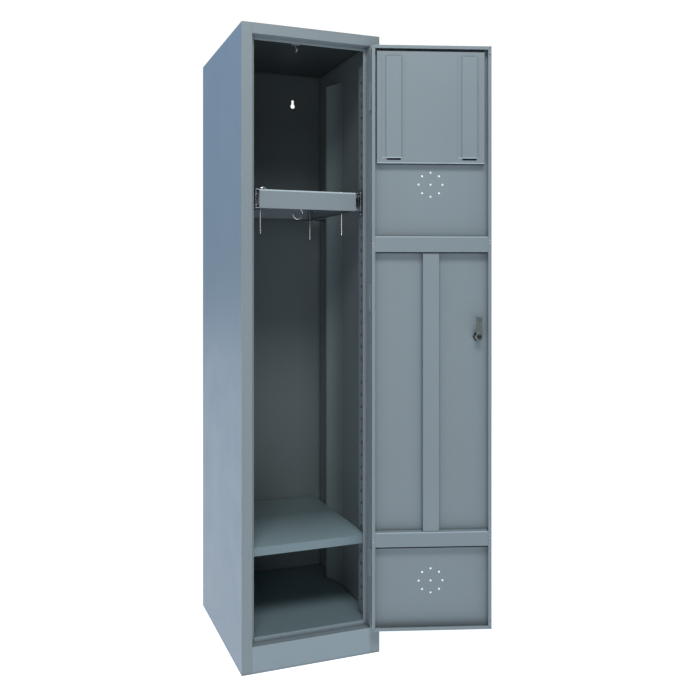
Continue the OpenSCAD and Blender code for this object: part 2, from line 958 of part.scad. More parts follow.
module lock_body() {
    color(chrome) on_door() difference() {
        union() {
            bar_y(lock_x, lock_z, barrel_r, 0, barrel_end);
            bar_y(lock_x, lock_z, lock_flange_r, lock_face, 0);
        }
        bar_y(lock_x, lock_z, plug_r, lock_face - 1, barrel_end + 1);
    }
}

module lock_body_nut() {
    color(chrome) on_door() nut_y(lock_x, lock_z, body_nut_w, barrel_r, door_sheet,
        door_sheet + body_nut_t);
}

// the turning plug, with a key slot in its face and a stem for the cam
module lock_plug() {
    color(chrome) on_door() difference() {
        union() {
            bar_y(lock_x, lock_z, plug_r - plug_clearance, lock_face, cam_y);
            bar_y(lock_x, lock_z, stem_r, cam_y, stem_end);
        }
        translate([lock_x - key_slot[0] / 2, lock_face - 1, lock_z - key_slot[2] / 2]) cube(key_slot);
    }
}

module lock_cam() {
    color(zinc) on_door() difference() {
        union() {
            bar_y(lock_x, lock_z, cam_w / 2, cam_y, cam_y + cam_t);
            block([lock_x - cam_w / 2, cam_y, lock_z], [lock_x + cam_w / 2, cam_y + cam_t, lock_z + cam_l]);
        }
        bar_y(lock_x, lock_z, stem_r, cam_y - 1, cam_y + cam_t + 1);
    }
}

module cam_nut() {
    color(chrome) on_door()
        nut_y(lock_x, lock_z, cam_nut_w, stem_r, cam_y + cam_t, cam_y + cam_t + cam_nut_t);
}

left_side_panel();
right_side_panel();
back_panel();
top_panel();
left_stile();
right_stile();
head_rail();
plinth();
base_shelf();
base_frame();
front_upright_left();
front_upright_right();
rear_upright_left();
rear_upright_right();
mid_shelf();
shelf_clips();
slide_bracket_left();
slide_bracket_right();
bracket_screws();
rear_clips();
wall_rivets();
ceiling_hook();
hinge_frame_leaves();
hinge_pins();
slide_outer_left();
slide_outer_right();
slide_middle_left();
slide_middle_right();
outer_cage_left();
outer_cage_right();
inner_cage_left();
inner_cage_right();
slide_inner_left();
slide_inner_right();
release_lever_left();
release_lever_right();
lever_rivets();
tray_pan();
tray_screws();
front_left_rod();
front_right_rod();
rear_left_rod();
rear_right_rod();
tray_hook();
hook_nut();
door_skin();
door_upper_panel();
panel_strip_hinge_side();
panel_strip_lock_side();
door_upper_rail();
door_lower_rail();
door_stiffener();
hinge_door_leaves();
lock_body();
lock_body_nut();
lock_plug();
lock_cam();
cam_nut();
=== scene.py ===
import json
import math

import bmesh
import bpy
from mathutils import Matrix, Vector

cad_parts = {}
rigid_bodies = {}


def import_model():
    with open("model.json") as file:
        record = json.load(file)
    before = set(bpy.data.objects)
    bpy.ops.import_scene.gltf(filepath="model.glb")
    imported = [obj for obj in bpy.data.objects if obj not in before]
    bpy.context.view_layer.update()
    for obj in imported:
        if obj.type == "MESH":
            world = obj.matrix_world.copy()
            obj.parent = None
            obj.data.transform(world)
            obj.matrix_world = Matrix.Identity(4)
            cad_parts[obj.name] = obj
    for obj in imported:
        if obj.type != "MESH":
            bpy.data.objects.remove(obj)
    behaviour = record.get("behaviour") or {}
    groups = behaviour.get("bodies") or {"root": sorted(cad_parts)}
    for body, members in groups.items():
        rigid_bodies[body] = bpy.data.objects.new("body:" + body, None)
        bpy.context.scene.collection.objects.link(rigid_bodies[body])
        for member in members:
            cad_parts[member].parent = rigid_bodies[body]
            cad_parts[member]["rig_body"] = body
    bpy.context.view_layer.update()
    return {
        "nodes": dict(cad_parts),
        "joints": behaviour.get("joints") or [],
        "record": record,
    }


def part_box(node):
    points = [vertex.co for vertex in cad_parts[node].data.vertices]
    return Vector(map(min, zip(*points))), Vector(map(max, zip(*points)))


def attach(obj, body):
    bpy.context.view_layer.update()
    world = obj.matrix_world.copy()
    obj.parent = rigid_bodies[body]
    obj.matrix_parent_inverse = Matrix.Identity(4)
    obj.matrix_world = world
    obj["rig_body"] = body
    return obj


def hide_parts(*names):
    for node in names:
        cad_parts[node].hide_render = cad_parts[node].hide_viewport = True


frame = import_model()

# School locker: finishes, small details, floor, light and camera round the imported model.
# Lengths are in metres in the model's own frame: the cabinet's front faces -Y and Z is up.

MM = 0.001
NODES = frame["nodes"]
JOINTS = {joint["name"]: joint for joint in frame["joints"]}

# the top panel is one sheet thick, and as wide and as deep as the cabinet
TOP_LOW, TOP_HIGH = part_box("top_panel")
SHEET = TOP_HIGH.z - TOP_LOW.z
SHUT_ANGLE = JOINTS["door_hinge"]["range_deg"][0]
HINGE_AXIS = Vector(JOINTS["door_hinge"]["pos_m"])
SLIDE_LOW, SLIDE_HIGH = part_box("slide_outer_left")
SLIDE_Z = (SLIDE_LOW.z + SLIDE_HIGH.z) / 2

# ---- camera, floor and light ------------------------------------------------------------

CAMERA_PLACE = (-0.758, -2.482, 1.0875)
CAMERA_PAN = -21.33
CAMERA_LENS = 42.67
CAMERA_SHIFT = -0.0974
SENSOR_WIDTH = 36.0
FLOOR_HALF = 14.0
FLOOR_DROP = 0.5 * MM
FLOOR_GLOW = 1.02
FLOOR_LIGHT = (0.95, 1.0, 1.07, 1)
FLOOR_DARK = (0.26, 0.26, 0.26)
FLOOR_PALE = (0.30, 0.30, 0.30)
WORLD_FILL = 0.13
WORLD_FILL_COLOR = (0.93, 0.97, 1.0, 1)
WORLD_BEHIND = 1.05
WHITE = (1, 1, 1, 1)


def make_camera():
    """A level camera to the left of the locker, shifted down to frame it."""
    data = bpy.data.cameras.new("camera")
    data.sensor_width = SENSOR_WIDTH
    data.lens = CAMERA_LENS
    data.shift_y = CAMERA_SHIFT
    camera = bpy.data.objects.new("camera", data)
    camera.location = CAMERA_PLACE
    camera.rotation_euler = (math.radians(90), 0, math.radians(CAMERA_PAN))
    bpy.context.scene.collection.objects.link(camera)
    bpy.context.scene.camera = camera


def make_floor():
    """A wide white floor that gives off light evenly, as a lit studio sweep does."""
    corners = [(x, y, 0) for x, y in ((-1, -1), (1, -1), (1, 1), (-1, 1))]
    mesh = bpy.data.meshes.new("floor")
    mesh.from_pydata([Vector(c) * FLOOR_HALF for c in corners], [], [(0, 1, 2, 3)])
    floor = bpy.data.objects.new("floor", mesh)
    floor.location.z = -FLOOR_DROP
    bpy.context.scene.collection.objects.link(floor)
    material, tree, shader = new_material("pale_floor")
    shade = blend(tree, cloud(tree, 1.5, 3), FLOOR_DARK, FLOOR_PALE)
    tree.links.new(shade, shader.inputs["Base Color"])
    shader.inputs["Roughness"].default_value = 0.8
    shader.inputs["Specular IOR Level"].default_value = 0.1
    shader.inputs["Emission Color"].default_value = FLOOR_LIGHT
    shader.inputs["Emission Strength"].default_value = FLOOR_GLOW
    mesh.materials.append(material)


def make_world():
    """White behind the object, and a dimmer even fill for the light that falls on it."""
    world = bpy.data.worlds.new("studio")
    bpy.context.scene.world = world
    world.use_nodes = True
    tree = world.node_tree
    fill = tree.nodes["Background"]
    fill.inputs["Color"].default_value = WORLD_FILL_COLOR
    fill.inputs["Strength"].default_value = WORLD_FILL
    behind = tree.nodes.new("ShaderNodeBackground")
    behind.inputs["Color"].default_value = WHITE
    behind.inputs["Strength"].default_value = WORLD_BEHIND
    seen = tree.nodes.new("ShaderNodeLightPath").outputs["Is Camera Ray"]
    mix = tree.nodes.new("ShaderNodeMixShader")
    tree.links.new(seen, mix.inputs["Fac"])
    tree.links.new(fill.outputs["Background"], mix.inputs[1])
    tree.links.new(behind.outputs["Background"], mix.inputs[2])
    tree.links.new(mix.outputs["Shader"], tree.nodes["World Output"].inputs["Surface"])


def soft_box(name, place, target, size, watts, color):
    """A rectangular area light that faces a target point."""
    data = bpy.data.lights.new(name, "AREA")
    data.shape = "RECTANGLE"
    data.size, data.size_y = size
    data.energy = watts
    data.color = color
    light = bpy.data.objects.new(name, data)
    light.location = place
    aim = Vector(target) - Vector(place)
    light.rotation_euler = aim.to_track_quat("-Z", "Y").to_euler()
    bpy.context.scene.collection.objects.link(light)


def make_lights():
    """A key from above, a low front fill, a bluish light on the left side and one behind."""
    middle = (0.1, -0.2, 0.9)
    soft_box("key", (-0.6, -2.9, 3.9), middle, (2.2, 1.2), 104, (1.0, 0.99, 0.97))
    soft_box("front_fill", (-1.9, -4.6, 1.0), middle, (1.4, 1.8), 26, (1.0, 1.0, 1.0))
    soft_box("left_cool", (-3.0, 0.6, 3.0), (-0.2, 0, 1.5), (1.8, 1.8), 92, (0.36, 0.60, 1.0))
    soft_box("back_rim", (2.2, 3.2, 2.6), middle, (2.0, 1.6), 40, (1.0, 1.0, 1.0))


# ---- materials --------------------------------------------------------------------------


def new_material(name):
    material = bpy.data.materials.new(name)
    material.use_nodes = True
    tree = material.node_tree
    return material, tree, tree.nodes["Principled BSDF"]


def place_of(tree, stretch=(1, 1, 1)):
    """The point on the object, in the model's frame, stretched along each axis."""
    point = tree.nodes.new("ShaderNodeTexCoord").outputs["Object"]
    mapping = tree.nodes.new("ShaderNodeMapping")
    mapping.inputs["Scale"].default_value = stretch
    tree.links.new(point, mapping.inputs["Vector"])
    return mapping.outputs["Vector"]


def cloud(tree, scale, detail, stretch=(1, 1, 1)):
    """Noise spread over the whole range from 0 to 1."""
    noise = tree.nodes.new("ShaderNodeTexNoise")
    noise.inputs["Scale"].default_value = scale
    noise.inputs["Detail"].default_value = detail
    tree.links.new(place_of(tree, stretch), noise.inputs["Vector"])
    return remap(tree, noise.outputs["Fac"], 0.3, 0.7, 0.0, 1.0)


def remap(tree, value, from_low, from_high, low, high):
    node = tree.nodes.new("ShaderNodeMapRange")
    numbers = (from_low, from_high, low, high)
    for socket, number in zip(("From Min", "From Max", "To Min", "To Max"), numbers):
        node.inputs[socket].default_value = number
    tree.links.new(value, node.inputs["Value"])
    return node.outputs["Result"]


def calc(tree, operation, first, second):
    """One sum: each side is a number or another node's output."""
    node = tree.nodes.new("ShaderNodeMath")
    node.operation = operation
    for socket, side in zip(node.inputs, (first, second)):
        if isinstance(side, (int, float)):
            socket.default_value = side
        else:
            tree.links.new(side, socket)
    return node.outputs["Value"]


def blend(tree, share, first, second, mode="MIX"):
    """A colour between two, each a triple or another node's output."""
    node = tree.nodes.new("ShaderNodeMix")
    node.data_type = "RGBA"
    node.blend_type = mode
    factor, a, b = node.inputs[0], node.inputs[6], node.inputs[7]
    for socket, side in ((factor, share), (a, first), (b, second)):
        if isinstance(side, tuple):
            socket.default_value = (*side, 1)
        elif isinstance(side, (int, float)):
            socket.default_value = side
        else:
            tree.links.new(side, socket)
    return node.outputs[2]


def rounded(tree, radius):
    """The normal with its edges rounded, and how near an edge a point is, from 0 to 1."""
    bevel = tree.nodes.new("ShaderNodeBevel")
    bevel.samples = 6
    bevel.inputs["Radius"].default_value = radius
    flat = tree.nodes.new("ShaderNodeNewGeometry").outputs["True Normal"]
    dot = tree.nodes.new("ShaderNodeVectorMath")
    dot.operation = "DOT_PRODUCT"
    tree.links.new(bevel.outputs["Normal"], dot.inputs[0])
    tree.links.new(flat, dot.inputs[1])
    return bevel.outputs["Normal"], remap(tree, dot.outputs["Value"], 0.995, 0.85, 0.0, 1.0)


def tinted(shade, factor):
    """A colour made paler or darker by a factor."""
    return tuple(factor * c for c in shade)


def portion(tree, value, share):
    """A share of a node's output."""
    return calc(tree, "MULTIPLY", value, share)


def axes_of(tree):
    """The X, Y and Z of the point on the object."""
    split = tree.nodes.new("ShaderNodeSeparateXYZ")
    tree.links.new(place_of(tree), split.inputs["Vector"])
    return split.outputs


def bump(tree, shader, height, distance, normal=None):
    node = tree.nodes.new("ShaderNodeBump")
    node.inputs["Strength"].default_value = 0.6
    node.inputs["Distance"].default_value = distance
    tree.links.new(height, node.inputs["Height"])
    if normal is not None:
        tree.links.new(normal, node.inputs["Normal"])
    tree.links.new(node.outputs["Normal"], shader.inputs["Normal"])


MASK_SLACK = 0.1 * MM


def inside_cabinet(tree):
    """1 on the faces that look into the cabinet, behind its door stops, and 0 elsewhere."""
    x, y, z = axes_of(tree)
    wall = TOP_HIGH.x - SHEET + MASK_SLACK
    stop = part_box("left_stile")[1].y - MASK_SLACK
    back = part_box("back_panel")[0].y + 3 * MASK_SLACK
    top = TOP_LOW.z + MASK_SLACK
    mask = calc(tree, "LESS_THAN", calc(tree, "ABSOLUTE", x, 0.0), wall)
    for side in (calc(tree, "GREATER_THAN", y, stop), calc(tree, "LESS_THAN", y, back),
                 calc(tree, "LESS_THAN", z, top)):
        mask = calc(tree, "MULTIPLY", mask, side)
    return mask


def crevice(tree, reach):
    """1 in the open and falling towards 0 in a tight inner corner, where it paints shade."""
    node = tree.nodes.new("ShaderNodeAmbientOcclusion")
    node.samples = 6
    node.inputs["Distance"].default_value = reach
    return node.outputs["AO"]


def ramp(tree, axis, start, end, share):
    """1 up to start along an axis, then a fall or rise to share at end."""
    return remap(tree, axes_of(tree)[axis], start, end, 1.0, share)


def all_ramps(tree, ramps):
    """The product of several ramps, each given as (axis, start, end, share)."""
    factor = 1.0
    for axis, start, end, share in ramps:
        factor = calc(tree, "MULTIPLY", ramp(tree, axis, start, end, share), factor)
    return factor


def painted_inner_shade(tree, share, ramps):
    """Painted shade inside the cabinet: the coat's colour there as a share of its colour outside,
    with its ramps.
    """
    factor = calc(tree, "MULTIPLY", all_ramps(tree, ramps), share)
    mask = inside_cabinet(tree)
    outside = calc(tree, "SUBTRACT", 1.0, mask)
    return calc(tree, "ADD", calc(tree, "MULTIPLY", mask, factor), outside)


def scale_color(tree, color, factor):
    node = tree.nodes.new("ShaderNodeVectorMath")
    node.operation = "SCALE"
    tree.links.new(color, node.inputs[0])
    tree.links.new(factor, node.inputs["Scale"])
    return node.outputs["Vector"]


# the coat's fold radius, how pale its edges are painted (partly worn paint, partly a painted
# highlight) and the painted shade kept in a tight corner
COAT_FOLD, COAT_WEAR_AND_HIGHLIGHT, COAT_CORNER_SHADE = 1.3 * MM, 0.42, 0.42
# how far the painted shade in tight corners reaches
COAT_SHADE_REACH = 9 * MM
COAT_PEEL = 0.06 * MM
COAT_ROUGHNESS = (0.38, 0.47)
SCUFF = (0.55, 0.56, 0.57)
MIDDLE_GREY = (0.5, 0.5, 0.5)
DOWNWARDS = (60, 60, 1.2)


def powder_coat(name, shade, inner=None, fold=COAT_FOLD, wear_and_highlight=COAT_WEAR_AND_HIGHLIGHT, outer=(), corner_shade=COAT_CORNER_SHADE):
    """Satin paint baked on sheet steel: faint clouds, fine grain, paler folds that are partly worn
    paint and partly a painted highlight, and painted shade in tight corners. inner is the share and
    ramps of the painted shade inside the cabinet. outer is ramps of painted light and shade that hold
    everywhere.
    fold is the radius of the rounded edges, the argument after it how pale the edges are painted, and
    the last argument the painted shade left in a tight corner."""
    material, tree, shader = new_material(name)
    normal, near_edge = rounded(tree, fold)
    color = blend(tree, cloud(tree, 2.4, 4), tinted(shade, 0.975), tinted(shade, 1.025))
    grain = portion(tree, cloud(tree, 700, 2), 0.10)
    color = blend(tree, grain, color, MIDDLE_GREY, "OVERLAY")
    streaks = portion(tree, cloud(tree, 1.0, 3, DOWNWARDS), 0.03)
    color = blend(tree, streaks, color, tinted(shade, 0.6))
    scuffs = portion(tree, calc(tree, "MULTIPLY", near_edge, cloud(tree, 38, 4)), 0.28)
    # paler edges: partly worn paint and partly a painted highlight along the folds
    color = blend(tree, portion(tree, near_edge, wear_and_highlight), color, tinted(shade, 1.6))
    color = blend(tree, scuffs, color, SCUFF)
    if inner is not None:
        # painted shade on the faces inside the cabinet, darker than the same coat outside
        color = scale_color(tree, color, painted_inner_shade(tree, *inner))
    if outer:
        # ramps of painted highlight and shade, such as along bends and under hems
        color = scale_color(tree, color, all_ramps(tree, outer))
    # painted shade darkening the coat in tight inner corners
    corners = remap(tree, crevice(tree, COAT_SHADE_REACH), 0.35, 0.95, corner_shade, 1.0)
    tree.links.new(scale_color(tree, color, corners), shader.inputs["Base Color"])
    rough = calc(tree, "ADD", cloud(tree, 9, 4), portion(tree, cloud(tree, 420, 2), 0.5))
    tree.links.new(remap(tree, rough, 0.0, 1.5, *COAT_ROUGHNESS), shader.inputs["Roughness"])
    shader.inputs["Specular IOR Level"].default_value = 0.4
    peel = calc(tree, "ADD", cloud(tree, 320, 2), cloud(tree, 11, 2))
    bump(tree, shader, peel, COAT_PEEL, normal)
    return material


# how far the painted shade in the zinc's tight corners reaches
ZINC_SHADE_REACH = 5 * MM
ZINC_ROUGHNESS = (0.20, 0.42)
RUBBED_ZINC = (0.88, 0.88, 0.88)
SLIDE_SHADE = (0.07, 0.075, 0.085)


def zinc_plate(name, bright, dull, stretch, web=None, rub=RUBBED_ZINC):
    """Zinc on steel: bright and dull clouds, drawn streaks, rubbed edges and painted shade in the
    corners.
    web gives the half height of a dark band of painted shade along the middle of the slides."""
    material, tree, shader = new_material(name)
    normal, near_edge = rounded(tree, 0.6 * MM)
    color = blend(tree, cloud(tree, 26, 4), dull, bright)
    color = blend(tree, portion(tree, near_edge, 0.5), color, rub)
    # painted shade darkening the zinc in tight inner corners
    corners = remap(tree, crevice(tree, ZINC_SHADE_REACH), 0.3, 0.9, 0.12, 1.0)
    color = scale_color(tree, color, corners)
    # a dark band of painted shade along the middle of the slide's web
    if web is not None:
        off = calc(tree, "ABSOLUTE", calc(tree, "SUBTRACT", axes_of(tree)["Z"], SLIDE_Z), 0.0)
        band = calc(tree, "LESS_THAN", off, web)
        grease = calc(tree, "MULTIPLY", band, remap(tree, cloud(tree, 14, 3), 0, 1, 0.7, 0.95))
        color = blend(tree, grease, color, SLIDE_SHADE)
    tree.links.new(color, shader.inputs["Base Color"])
    shader.inputs["Metallic"].default_value = 1.0
    streaks = cloud(tree, 1.0, 4, stretch)
    tree.links.new(remap(tree, streaks, 0, 1, *ZINC_ROUGHNESS), shader.inputs["Roughness"])
    bump(tree, shader, streaks, 0.02 * MM, normal)
    return material


def chrome(name, outer=()):
    """Polished chrome with faint smudges and a few fine pits. outer is ramps for all_ramps()."""
    material, tree, shader = new_material(name)
    normal, near_edge = rounded(tree, 0.3 * MM)
    color = blend(tree, cloud(tree, 60, 3), (0.70, 0.71, 0.73), (0.84, 0.85, 0.86))
    color = blend(tree, portion(tree, near_edge, 0.4), color, (0.93, 0.93, 0.93))
    if outer:
        color = scale_color(tree, color, all_ramps(tree, outer))
    tree.links.new(color, shader.inputs["Base Color"])
    shader.inputs["Metallic"].default_value = 1.0
    smudge = cloud(tree, 85, 4)
    tree.links.new(remap(tree, smudge, 0, 1, 0.07, 0.24), shader.inputs["Roughness"])
    bump(tree, shader, cloud(tree, 900, 2), 0.01 * MM, normal)
    return material


def moulded_plastic(name):
    """Black moulded plastic with a fine spark grain and edges rubbed grey."""
    material, tree, shader = new_material(name)
    normal, near_edge = rounded(tree, 0.5 * MM)
    color = blend(tree, cloud(tree, 90, 3), (0.014, 0.014, 0.016), (0.030, 0.030, 0.033))
    color = blend(tree, portion(tree, near_edge, 0.5), color, (0.09, 0.09, 0.09))
    tree.links.new(color, shader.inputs["Base Color"])
    tree.links.new(remap(tree, cloud(tree, 300, 3), 0, 1, 0.38, 0.58), shader.inputs["Roughness"])
    bump(tree, shader, cloud(tree, 1400, 2), 0.05 * MM, normal)
    return material


def shadow_seam(name):
    """The dark line of an open joint or of the shade under a fold."""
    material, tree, shader = new_material(name)
    color = blend(tree, cloud(tree, 140, 3), (0.008, 0.011, 0.013), (0.022, 0.029, 0.033))
    tree.links.new(color, shader.inputs["Base Color"])
    tree.links.new(remap(tree, cloud(tree, 200, 2), 0, 1, 0.6, 0.85), shader.inputs["Roughness"])
    shader.inputs["Specular IOR Level"].default_value = 0.1
    bump(tree, shader, cloud(tree, 500, 2), 0.05 * MM)
    return material


# ---- finishes of this locker --------------------------------------------------------------

GREY = (0.194, 0.236, 0.256)
# the door, plinth, shelf and inner greys below are the one grey coat made darker, paler or bluer
# where it is lit differently: painted light and shade
DOOR_SHADED_GREY = (0.182, 0.225, 0.248)
PLINTH_LIT_GREY = (0.224, 0.282, 0.314)
SHELF_LIT_GREY = (0.170, 0.240, 0.268)
INNER_SHADE_GREY = (0.208, 0.266, 0.282)
SPENT_GREY = (0.02, 0.02, 0.02)
# the door's fold radius, how pale its edges are painted (partly worn paint, partly a painted
# highlight) and its painted corner shade; the rails get no painted corner shade
DOOR_FOLD, DOOR_WEAR_AND_HIGHLIGHT, DOOR_CORNER_SHADE = 1.8 * MM, 0.9, 0.6
NO_CORNER_SHADE = 1.0
ALONG_SLIDE = (240, 5, 240)
ALL_WAYS = (60, 60, 60)
SLIDE_WEB = 15.5 * MM


def under_top(share):
    """Painted shade inside the cabinet: a fall to share from two thirds of the cabinet's height to
    just under its top.
    """
    return ("Z", 0.68 * TOP_HIGH.z, 0.9 * TOP_HIGH.z, share)


def to_back(share, depth_share=1.0):
    """Painted light and shade inside the cabinet: a change to share from the cabinet's front over a
    share of its depth.
    """
    end = TOP_LOW.y + depth_share * (TOP_HIGH.y - TOP_LOW.y)
    return ("Y", TOP_LOW.y, end, share)


def across_rear_upright():
    """Painted shade on the rear upright: dark in the corner beside the back, and fading again towards
    its front edge.
    """
    low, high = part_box("rear_upright_right")
    width = high.y - low.y
    corner = ("Y", high.y - 18 * MM, high.y - 9 * MM, 0.35)
    fade = ("Y", low.y + 0.7 * width, low.y, 0.5)
    return (corner, fade)


def behind_flange():
    """Painted light: paler on the shelf's top than on its front flange."""
    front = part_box("mid_shelf")[0].y
    return ("Y", front + 0.6 * MM, front + 1.6 * MM, 1.95)


def tray_bends():
    """A painted highlight along the bend at the tray's top, and painted shade under its hem."""
    low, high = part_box("tray_pan")
    bend = ("Z", high.z - 4.5 * MM, high.z - 3.0 * MM, 2.0)
    hem = ("Z", low.z + 1.5 * MM, low.z + 0.8 * MM, 0.3)
    return (bend, hem)


def lit_top(node, gain):
    """The bend along a door piece's top, which catches the light."""
    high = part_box(node)[1].z
    return ("Z", high - 4.0 * MM, high - 2.0 * MM, gain)


def lit_foot(node, gain):
    """The bend along a door piece's lower end, which also catches the light."""
    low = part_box(node)[0].z
    return ("Z", low + 4.0 * MM, low + 2.5 * MM, gain)


def stem_end():
    """The lock's stem is dark from the middle of the plug to the cam's end."""
    low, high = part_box("lock_plug")
    middle = (low.y + high.y) / 2
    return ("Y", middle + 1 * MM, middle - 1 * MM, 0.05)


def door_coat(name, outer=(), corner_shade=DOOR_CORNER_SHADE):
    return powder_coat(name, DOOR_SHADED_GREY, None, DOOR_FOLD, DOOR_WEAR_AND_HIGHLIGHT, outer, corner_shade)


def cabinet_coats():
    """The coats of the cabinet's outside and of its parts inside, which get less light: their
    darkness inside is painted shade.
    """
    back_inner = (0.56, (under_top(0.48),))
    front_inner = (0.9, (under_top(0.9),))
    rear_inner = (1.05, (under_top(0.9), *across_rear_upright()))
    shelf_inner = (0.98, (behind_flange(), to_back(0.33, 0.6)))
    base_inner = (1.05, (to_back(1.1),))
    return {
        "paint": powder_coat("grey_powder_coat", GREY, inner=(0.78, (under_top(0.8),))),
        "plinth_paint": powder_coat("grey_powder_coat_plinth", PLINTH_LIT_GREY, inner=(0.6, ())),
        "top_paint": powder_coat("grey_powder_coat_top", GREY, inner=(0.46, (under_top(0.5),))),
        # a paler copy of the grey coat on the hinge leaves: painted light
        "lit_leaf_paint": powder_coat("grey_powder_coat_leaf", tinted(GREY, 1.2)),
        "back_paint": powder_coat("inner_powder_coat_back", INNER_SHADE_GREY, inner=back_inner),
        "front_upright_paint": powder_coat("inner_powder_coat_front", INNER_SHADE_GREY, inner=front_inner),
        "rear_upright_paint": powder_coat("inner_powder_coat_rear", INNER_SHADE_GREY, inner=rear_inner),
        "shelf_paint": powder_coat("inner_powder_coat_shelf", SHELF_LIT_GREY, inner=shelf_inner),
        "base_paint": powder_coat("inner_powder_coat_base", SHELF_LIT_GREY, inner=base_inner),
    }


def door_and_tray_coats():
    upper_rail, lower_rail = lit_top("door_upper_rail", 1.5), lit_top("door_lower_rail", 1.6)
    panel, strip = lit_foot("door_upper_panel", 1.6), lit_foot("panel_strip_hinge_side", 1.6)
    return {
        "door_paint": door_coat("grey_powder_coat_door"),
        "upper_rail_paint": door_coat("grey_powder_coat_upper", (upper_rail,), NO_CORNER_SHADE),
        "lower_rail_paint": door_coat("grey_powder_coat_lower", (lower_rail,), NO_CORNER_SHADE),
        "panel_paint": door_coat("grey_powder_coat_panel", (panel,)),
        "strip_paint": door_coat("grey_powder_coat_strip", (strip,)),
        "tray_paint": powder_coat("grey_powder_coat_tray", GREY, fold=DOOR_FOLD, outer=tray_bends()),
        "weld_paint": powder_coat("grey_powder_coat_weld", tinted(GREY, 1.5)),
    }


def metals_and_plastic():
    slide = ((0.72, 0.79, 0.90), (0.56, 0.62, 0.76), ALONG_SLIDE)
    # the middle slides' zinc, with a band of painted shade
    greased = ((0.70, 0.77, 0.79), (0.52, 0.59, 0.62), ALONG_SLIDE)
    lock = ((0.20, 0.23, 0.22), (0.12, 0.14, 0.135), ALL_WAYS)
    nut = ((0.07, 0.075, 0.07), (0.03, 0.032, 0.03), ALL_WAYS)
    return {
        "zinc": zinc_plate("zinc_plate", (0.78, 0.79, 0.84), (0.60, 0.62, 0.70), ALL_WAYS),
        "lock_zinc": zinc_plate("zinc_plate_lock", *lock, rub=SPENT_GREY),
        "nut_zinc": zinc_plate("zinc_plate_nut", *nut),
        "slide_zinc": zinc_plate("zinc_plate_slide", *slide),
        "shaded_zinc": zinc_plate("zinc_plate_greased", *greased, web=SLIDE_WEB),
        "chrome": chrome("bright_chrome"),
        "plug_chrome": chrome("bright_chrome_plug", outer=(stem_end(),)),
        "black": moulded_plastic("black_plastic"),
        "seam": shadow_seam("shadow_seam"),
    }


# the nodes whose finish differs from the others of their slot
SPECIAL = {
    "top_panel": "top_paint", "plinth": "plinth_paint",
    "mid_shelf": "shelf_paint", "base_shelf": "base_paint",
    "front_upright_left": "front_upright_paint", "front_upright_right": "front_upright_paint",
    "rear_upright_left": "rear_upright_paint", "rear_upright_right": "rear_upright_paint",
    "slide_middle_left": "shaded_zinc", "slide_middle_right": "shaded_zinc",
    "slide_inner_left": "slide_zinc", "slide_inner_right": "slide_zinc",
    "lock_cam": "lock_zinc", "cam_nut": "nut_zinc", "lock_body_nut": "nut_zinc",
    "tray_pan": "tray_paint", "hinge_frame_leaves": "lit_leaf_paint", "lock_plug": "plug_chrome",
    "door_upper_rail": "upper_rail_paint", "door_lower_rail": "lower_rail_paint",
    "door_upper_panel": "panel_paint", "panel_strip_hinge_side": "strip_paint",
    "panel_strip_lock_side": "strip_paint",
}
USUAL = {"inner_powder_coat": "back_paint", "zinc_plate": "zinc", "bright_chrome": "chrome",
         "black_plastic": "black"}


def material_of(node, slot, body):
    """The key of a node's material in the dictionary of materials."""
    if node in SPECIAL:
        return SPECIAL[node]
    if slot == "grey_powder_coat":
        return "paint" if body == "cabinet" else "door_paint"
    return USUAL[slot]


# sheets with holes keep square edges in the mesh, because their flat faces are cut into slivers
PIERCED = ("door_skin", "back_panel", "front_upright_left", "front_upright_right", "tray_pan",
           "slide_middle_left", "slide_middle_right", "slide_inner_left", "slide_inner_right")
PAINTED_EDGE = 0.45 * MM
BARE_EDGE = 0.25 * MM
SAME_POINT = 0.005 * MM


def round_edges(node, width):
    """Joins the mesh's split corners, rounds its sharp edges and evens its shading."""
    weld = node.modifiers.new("weld", "WELD")
    weld.merge_threshold = SAME_POINT
    bevel = node.modifiers.new("bevel", "BEVEL")
    bevel.width = width
    bevel.segments = 2
    bevel.limit_method = "ANGLE"
    bevel.angle_limit = math.radians(35)
    node.modifiers.new("normals", "WEIGHTED_NORMAL")


def dress_nodes(materials):
    """Gives every CAD node its material and, where it has no holes, rounded edges."""
    for part in frame["record"]["subparts"]:
        node = NODES[part["node"]]
        kind = material_of(node.name, part["material_slot"], node["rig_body"])
        node.data.materials.clear()
        node.data.materials.append(materials[kind])
        if node.name not in PIERCED:
            round_edges(node, PAINTED_EDGE if "paint" in kind else BARE_EDGE)


# ---- detail pieces ------------------------------------------------------------------------


def turn(bm, place, axis, profile, sides=24):
    """Adds a closed solid of rings of (radius, height, corners) about an axis; 0 corners is round."""
    facing = Vector(axis).to_track_quat("Z", "Y").to_matrix()
    rings = []
    for radius, height, corners in profile:
        ring = []
        for n in range(sides):
            angle = 2 * math.pi * n / sides
            reach = radius
            if corners:
                wedge = 2 * math.pi / corners
                reach *= math.cos(wedge / 2) / math.cos(angle % wedge - wedge / 2)
            spot = Vector((reach * math.cos(angle), reach * math.sin(angle), height))
            ring.append(bm.verts.new(Vector(place) + facing @ spot))
        rings.append(ring)
    for low, high in zip(rings, rings[1:]):
        for n in range(sides):
            m = (n + 1) % sides
            bm.faces.new((low[n], low[m], high[m], high[n]))
    bm.faces.new(list(reversed(rings[0])))
    bm.faces.new(rings[-1])


def dome(radius, height, steps=4):
    """A shallow round cap as a profile for turn()."""
    rings = [(radius, -0.3 * height, 0)]
    for n in range(steps + 1):
        angle = math.pi / 2 * n / (steps + 0.4)
        rings.append((radius * math.cos(angle), height * math.sin(angle), 0))
    return rings


